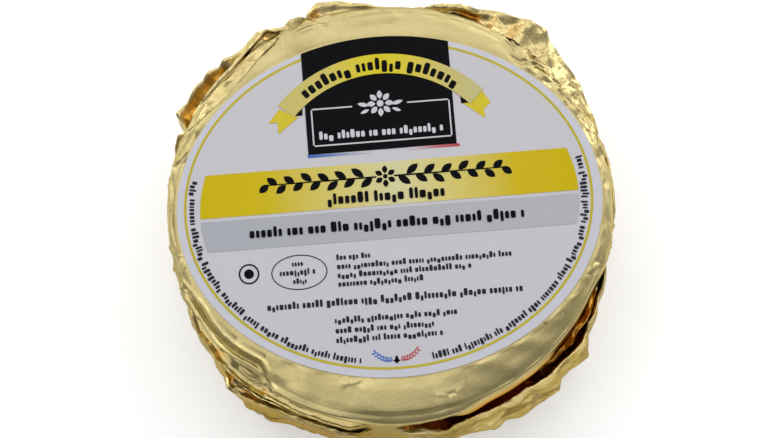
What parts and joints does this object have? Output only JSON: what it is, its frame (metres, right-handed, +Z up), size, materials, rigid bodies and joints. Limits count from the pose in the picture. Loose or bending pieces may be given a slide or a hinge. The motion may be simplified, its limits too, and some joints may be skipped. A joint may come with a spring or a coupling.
{
  "type": "wrapped butter block",
  "caption": "Round hand-moulded butter block wrapped in one folded sheet of pale gold foil, with an oval paper label on its flat top.",
  "frame": {"origin": "centre of the base, on the surface that the block stands on", "axes": "+Z up out of the labelled top, +X along the long axis of the oval label (its reading direction), +Y towards the label's top"},
  "size_m": [0.1071, 0.1047, 0.0332],
  "materials": {
    "foil": "satin pale gold lacquered foil with creases",
    "label": "smooth printed paper"
  },
  "bodies": {
    "root": {"foil_wrap": "foil", "label": "label"}
  },
  "joints": []
}
